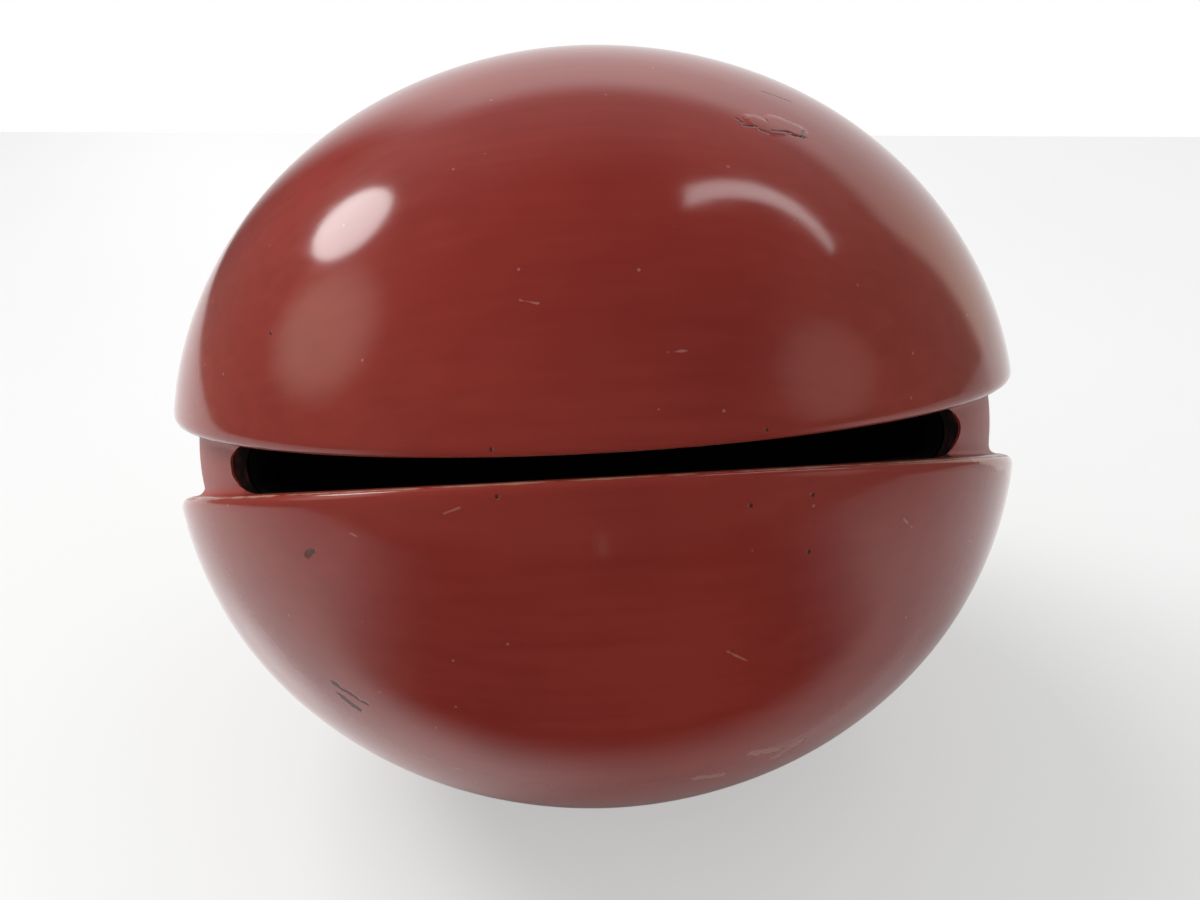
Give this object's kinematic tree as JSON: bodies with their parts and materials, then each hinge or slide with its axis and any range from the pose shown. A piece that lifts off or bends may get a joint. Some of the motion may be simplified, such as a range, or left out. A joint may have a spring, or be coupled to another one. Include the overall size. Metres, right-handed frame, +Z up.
{
  "type": "mokugyo wooden fish",
  "caption": "Round lacquered wooden slit drum with a narrow mouth across its front, blind grooves round its sides and a loop handle behind, leaning back on a small flat foot.",
  "frame": {"origin": "middle of the foot flat, straight under the centre of the drum", "axes": "+Z up from the table, the mouth faces -Y and upwards, the handle is at +Y, and the drum is the same on both sides of the plane X = 0"},
  "size_m": [0.1482, 0.1691, 0.1331],
  "materials": {
    "carved_wood": "bare hardwood, planed and rubbed on the foot, hidden elsewhere",
    "clay_ground": "matt pale primer of clay and lacquer",
    "black_lacquer": "black lacquer under the red",
    "vermilion_lacquer": "old brown-red lacquer, glossy, with fine scratches, pits and rubbed edges",
    "mouth_black": "dull black inside the mouth"
  },
  "bodies": {
    "root": {"carved_wood_body": "carved_wood", "clay_ground_coat": "clay_ground", "black_undercoat": "black_lacquer", "vermilion_top_coat": "vermilion_lacquer", "black_mouth_lining": "mouth_black"}
  },
  "joints": []
}
